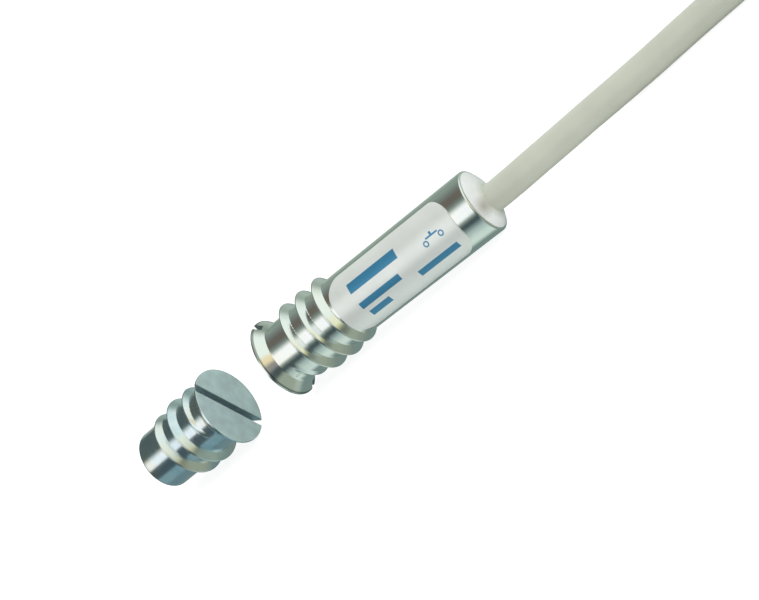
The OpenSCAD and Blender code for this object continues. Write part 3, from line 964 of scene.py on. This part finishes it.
class Nodes:
    """Adds nodes to a tree and links them in one line."""

    def __init__(self, tree):
        self.tree = tree

    def add(self, kind, *sources, **values):
        """A node whose first inputs take sockets or numbers, and whose properties are set by name."""
        made = self.tree.nodes.new(kind)
        for key, value in values.items():
            setattr(made, key, value)
        for socket, source in zip(made.inputs, sources):
            if hasattr(source, "is_linked"):
                self.tree.links.new(source, socket)
            elif source is not None:
                socket.default_value = source
        return made

    def ramp(self, factor, stops):
        """A colour ramp over the range from the first stop to the last."""
        made = self.add("ShaderNodeValToRGB", factor)
        elements = made.color_ramp.elements
        elements.remove(elements[1])
        elements[0].position = 0
        elements[0].color = stops[0][1]
        low, high = stops[0][0], stops[-1][0]
        for place, shade in stops[1:]:
            elements.new((place - low) / (high - low)).color = shade
        return made.outputs["Color"]

    def between(self, value, low, high):
        """0 below low, 1 above high, with a smooth step between."""
        made = self.add("ShaderNodeMapRange", value, low, high, 0.0, 1.0, interpolation_type="SMOOTHSTEP")
        return made.outputs["Result"]

    def mix(self, factor, a, b):
        """Mixes two colour sockets."""
        made = self.tree.nodes.new("ShaderNodeMix")
        made.data_type = "RGBA"
        self.tree.links.new(factor, made.inputs["Factor"])
        for socket, source in zip([i for i in made.inputs if i.type == "RGBA"], (a, b)):
            self.tree.links.new(source, socket)
        return [o for o in made.outputs if o.type == "RGBA"][0]


def world_studio(scene, stage):
    """A room by direction that only reflections see, white for the camera and soft for plain surfaces."""
    world = bpy.data.worlds.new("Studio")
    scene.world = world
    world.use_nodes = True
    world.node_tree.nodes.clear()
    n = Nodes(world.node_tree)
    way = n.add("ShaderNodeTexCoord").outputs["Generated"]
    split = n.add("ShaderNodeSeparateXYZ", way)
    x, y, z = split.outputs
    front = n.add("ShaderNodeMath", y, -1.0, operation="MULTIPLY").outputs[0]
    turn = n.add("ShaderNodeMath", z, front, operation="ARCTAN2").outputs[0]
    part = n.add("ShaderNodeMath", turn, 0.5 / math.pi, 0.5, operation="MULTIPLY_ADD").outputs[0]
    room = n.mix(n.between(x, 0.25, 0.55), n.ramp(part, ROOM_ACROSS), n.ramp(part, ROOM_RIGHT))
    height = n.add("ShaderNodeMath", z, 0.5, 0.5, operation="MULTIPLY_ADD").outputs[0]
    room = n.mix(n.between(x, 0.86, 0.95), room, n.ramp(height, ROOM_END))
    left = n.add("ShaderNodeMath", x, -1.0, operation="MULTIPLY").outputs[0]
    room = n.mix(n.between(left, 0.72, 0.88), room, n.ramp(part, ROOM_LEFT))
    mirrored = n.add("ShaderNodeBackground", room, 1.15)
    white = n.add("ShaderNodeBackground", (1, 1, 1, 1), 1.0)
    soft = n.add("ShaderNodeBackground", (1, 1, 1, 1), stage.room)
    rays = n.add("ShaderNodeLightPath")
    clear = n.add("ShaderNodeMath", rays.outputs["Is Camera Ray"], rays.outputs["Is Transmission Ray"], operation="MAXIMUM")
    lit = n.add("ShaderNodeMixShader", rays.outputs["Is Glossy Ray"], soft.outputs[0], mirrored.outputs[0])
    shown = n.add("ShaderNodeMixShader", clear.outputs[0], lit.outputs[0], white.outputs[0])
    n.add("ShaderNodeOutputWorld", shown.outputs[0])


def floor_piece(s):
    """The pale floor: white to the camera, keeping a soft shadow, and unseen by the metal."""
    material, shader = new_material("floor")
    shader.inputs["Base Color"].default_value = (*s.stage.floor, 1)
    shader.inputs["Roughness"].default_value = 0.9
    shader.inputs["Specular IOR Level"].default_value = 0
    n = Nodes(material.node_tree)
    rays = n.add("ShaderNodeLightPath")
    share = n.add("ShaderNodeMath", rays.outputs["Is Camera Ray"], s.stage.glow, operation="MULTIPLY")
    white = n.add("ShaderNodeEmission", (1, 1, 1, 1), 1.5)
    both = n.add("ShaderNodeMixShader", share.outputs[0], shader.outputs[0], white.outputs[0])
    output = [k for k in material.node_tree.nodes if k.type == "OUTPUT_MATERIAL"][0]
    material.node_tree.links.new(both.outputs[0], output.inputs["Surface"])
    size = 6.0
    points = np.array([(-size, -size, 0), (size, -size, 0), (size, size, 0), (-size, size, 0)], float)
    points[:, 2] = -0.02 * MM
    obj = mesh_object("floor", points, [np.array([[0, 1, 2, 3]])], material, smooth=False)
    obj.visible_glossy = False
    return obj


def area_light(name, place, size, power):
    """A soft rectangular lamp that looks at the origin and that metal does not mirror."""
    lamp = bpy.data.lights.new(name, "AREA")
    lamp.shape = "RECTANGLE"
    lamp.size, lamp.size_y = size
    lamp.energy = power
    obj = bpy.data.objects.new(name, lamp)
    bpy.context.scene.collection.objects.link(obj)
    back = np.array(place, float)
    back /= np.linalg.norm(back)
    right = np.cross([0, 0, 1.0], back)
    right /= np.linalg.norm(right)
    up = np.cross(back, right)
    m = np.eye(4)
    m[:3, 0], m[:3, 1], m[:3, 2], m[:3, 3] = right, up, back, place
    obj.matrix_world = Matrix(m.tolist())
    obj.visible_glossy = False
    return obj


def card(name, corners_mm, shade):
    """A glowing card near the object, from two opposite corners, that only metal mirrors."""
    low, high = np.array(corners_mm, float) * MM
    flat = int(np.argmin(high - low))
    a, b = [k for k in range(3) if k != flat]
    points = np.array([low, low, high, high])
    points[1, a] = high[a]
    points[3, a] = low[a]
    points[2] = high
    points[3, b] = high[b]
    points[1, b] = low[b]
    material, shader = new_material(name)
    n = Nodes(material.node_tree)
    glow = n.add("ShaderNodeEmission", shade, 1.15)
    output = [k for k in material.node_tree.nodes if k.type == "OUTPUT_MATERIAL"][0]
    material.node_tree.links.new(glow.outputs[0], output.inputs["Surface"])
    obj = mesh_object(name, points, [np.array([[0, 1, 2, 3]])], material, smooth=False)
    obj.visible_camera = False
    obj.visible_diffuse = False
    obj.visible_shadow = False
    obj.visible_transmission = False
    return obj


# Operators

class CONTACT_OT_camera(bpy.types.Operator):
    """Adds the camera at the photograph's viewing angle"""

    bl_idname = "contact.camera"
    bl_label = "Add the camera"

    def execute(self, context):
        s = context.scene.contact
        stage = s.stage
        right, up, back = camera_axes(stage)
        camera = bpy.data.cameras.new("Camera")
        camera.sensor_width = 36
        camera.sensor_fit = "HORIZONTAL"
        camera.lens = stage.focal_px * camera.sensor_width / 759
        camera.clip_start = 0.005
        camera.clip_end = 50
        obj = bpy.data.objects.new("Camera", camera)
        context.scene.collection.objects.link(obj)
        middle = np.array(VIEW_MIDDLE_MM) * MM
        m = np.eye(4)
        m[:3, 0], m[:3, 1], m[:3, 2], m[:3, 3] = right, up, back, middle + back * stage.distance
        obj.matrix_world = Matrix(m.tolist())
        context.scene.camera = obj
        return {"FINISHED"}


# The point that the middle of the photograph looks at
VIEW_MIDDLE_MM = (10.06, -0.64, 3.15)


class CONTACT_OT_lead(bpy.types.Operator):
    """Builds the lead, its hank and its free end at their real length"""

    bl_idname = "contact.lead"
    bl_label = "Add the lead"

    def execute(self, context):
        s = context.scene.contact
        lead = s.lead
        jacket = plastic("cable_jacket", tuple(lead.jacket), 0.42)
        path, end = lead_path(s)
        obj = tube("lead", path, lead.diameter / 2, 20, jacket)
        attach(obj, BODY)
        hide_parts("cable", "cable_hank", "cable_tail")
        print("lead length", round(path_length(path), 4))
        return {"FINISHED"}


class CONTACT_OT_switch(bpy.types.Operator):
    """Builds the switch housing's surface"""

    bl_idname = "contact.switch_housing"
    bl_label = "Add the switch housing"

    def execute(self, context):
        s = context.scene.contact
        axes = switch_axes(s)
        base = tuple(s.finish.switch_zinc)
        plate = zinc_plate("switch_zinc", s, axes, base, 0.18, 0.1)
        face = satin_face("switch_face", base)
        # The slot's dark colour is painted shade of the recess.
        obj = housing_piece("switch_shell", s, s.switch, axes, plate, face, shaded_slot_metal("switch_slot_shade", (0.26, 0.33, 0.32)))
        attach(obj, BODY)
        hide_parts("switch_housing")
        return {"FINISHED"}


class CONTACT_OT_magnet(bpy.types.Operator):
    """Builds the magnet housing's surface"""

    bl_idname = "contact.magnet_housing"
    bl_label = "Add the magnet housing"

    def execute(self, context):
        s = context.scene.contact
        axes = magnet_axes(s)
        base = tuple(s.finish.magnet_zinc)
        plate = zinc_plate("magnet_zinc", s, axes, base, 0.55, 0.17)
        face = satin_face("magnet_face", (0.74, 0.89, 0.92))
        # The slot's dark colour is painted shade of the recess.
        obj = housing_piece("magnet_shell", s, s.magnet, axes, plate, face, shaded_slot_metal("magnet_slot_shade", (0.52, 0.64, 0.68)))
        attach(obj, BODY)
        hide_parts("magnet_housing")
        return {"FINISHED"}


class CONTACT_OT_label(bpy.types.Operator):
    """Builds the label with its generic print"""

    bl_idname = "contact.label"
    bl_label = "Add the label"

    def execute(self, context):
        s = context.scene.contact
        obj = label_piece(s, switch_axes(s), label_print(s))
        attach(obj, BODY)
        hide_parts("label")
        return {"FINISHED"}


class CONTACT_OT_resin(bpy.types.Operator):
    """Builds the resin at the rear, round the lead"""

    bl_idname = "contact.resin"
    bl_label = "Add the resin"

    def execute(self, context):
        s = context.scene.contact
        axes = switch_axes(s)
        obj = resin_piece(s, axes, milky_resin("resin", s, axes))
        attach(obj, BODY)
        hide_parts("potting_resin")
        return {"FINISHED"}


class CONTACT_OT_finishes(bpy.types.Operator):
    """Gives every carried-over piece its finish"""

    bl_idname = "contact.finishes"
    bl_label = "Finish the other pieces"

    def execute(self, context):
        s = context.scene.contact
        steel = plain_metal("reed_metal", (0.62, 0.61, 0.58), 0.3)
        copper = plain_metal("copper", (0.80, 0.42, 0.24), 0.3)
        tinned = plain_metal("tinned_copper", (0.74, 0.73, 0.70), 0.28)
        finishes = {
            "carrier": plastic("carrier_plastic", (0.80, 0.78, 0.70), 0.5),
            "reed_capsule": green_glass("reed_glass"),
            "front_reed": steel,
            "rear_reed": steel,
            "return_wire": copper,
            "conductor_ends": copper,
            "solder_joints": plain_metal("solder", (0.75, 0.75, 0.76), 0.2),
            "magnet_plug": plastic("plug_resin", tuple(s.finish.resin), 0.25),
            "magnet": plain_metal("magnet_metal", (0.22, 0.22, 0.23), 0.4),
            "cable_tie": plastic("tie_nylon", (0.74, 0.73, 0.68), 0.4),
            "tail_tips": tinned,
        }
        insulation = {
            "white": (0.85, 0.85, 0.83),
            "brown": (0.22, 0.10, 0.05),
            "green": (0.03, 0.30, 0.08),
            "yellow": (0.85, 0.62, 0.05),
        }
        for name, base in insulation.items():
            finishes["core_" + name] = plastic("insulation_" + name, base, 0.4)
            finishes["tail_" + name] = finishes["core_" + name]
        for name, material in finishes.items():
            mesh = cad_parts[name].data
            mesh.materials.clear()
            mesh.materials.append(material)
        return {"FINISHED"}


class CONTACT_OT_stage(bpy.types.Operator):
    """Adds the floor, the soft lamps and the room that the metal mirrors"""

    bl_idname = "contact.stage"
    bl_label = "Add the stage"

    def execute(self, context):
        s = context.scene.contact
        scene = context.scene
        scene.view_settings.view_transform = "Standard"
        floor_piece(s)
        world_studio(scene, s.stage)
        area_light("key", (-0.05, 0.05, 0.5), (0.35, 0.35), s.stage.key)
        area_light("fill", (-0.15, 0.4, 0.2), (0.4, 0.4), s.stage.fill)
        area_light("side", (0.4, -0.15, 0.2), (0.3, 0.3), s.stage.side)
        card("shade_card", ((-90, -20, -3), (-26, -20, 12)), screen(70, 84, 88))
        card("blue_card", ((-90, -20, -34), (-27, -20, -3)), screen(122, 150, 155))
        card("under_card", ((-90, -20, -34), (-31, 20, -34)), screen(108, 129, 132))
        card("roof_card", ((-90, -14.5, 30), (-30, 50, 30)), screen(78, 90, 89))
        return {"FINISHED"}


OPERATORS = [
    CONTACT_OT_camera, CONTACT_OT_lead, CONTACT_OT_switch, CONTACT_OT_magnet, CONTACT_OT_label,
    CONTACT_OT_resin, CONTACT_OT_finishes, CONTACT_OT_stage,
]


class CONTACT_PT_panel(bpy.types.Panel):
    """Lists the operators and their settings"""

    bl_idname = "CONTACT_PT_panel"
    bl_label = "Magnetic contact"
    bl_space_type = "VIEW_3D"
    bl_region_type = "UI"
    bl_category = "Contact"

    def draw(self, context):
        for operator in OPERATORS:
            self.layout.operator(operator.bl_idname)
        settings = context.scene.contact
        for group in settings.bl_rna.properties:
            if group.type != "POINTER" or group.identifier == "rna_type":
                continue
            box = self.layout.box()
            box.label(text=group.name)
            part = getattr(settings, group.identifier)
            for prop in part.bl_rna.properties:
                if prop.identifier not in ("rna_type", "name"):
                    box.prop(part, prop.identifier)


SETTINGS = [
    ThreadSettings, SwitchSettings, MagnetSettings, HeadSettings, LabelSettings, LeadSettings, FinishSettings,
    StageSettings, ContactSettings,
]


def register():
    """Registers the settings, the operators and the panel."""
    for made in SETTINGS + OPERATORS + [CONTACT_PT_panel]:
        bpy.utils.register_class(made)
    bpy.types.Scene.contact = PointerProperty(type=ContactSettings)


def unregister():
    """Removes what register added."""
    del bpy.types.Scene.contact
    for made in reversed(SETTINGS + OPERATORS + [CONTACT_PT_panel]):
        bpy.utils.unregister_class(made)


def main():
    """Builds every piece in order."""
    register()
    bpy.ops.contact.camera()
    bpy.ops.contact.lead()
    bpy.ops.contact.switch_housing()
    bpy.ops.contact.magnet_housing()
    bpy.ops.contact.label()
    bpy.ops.contact.resin()
    bpy.ops.contact.finishes()
    bpy.ops.contact.stage()


if __name__ == "__main__":
    main()
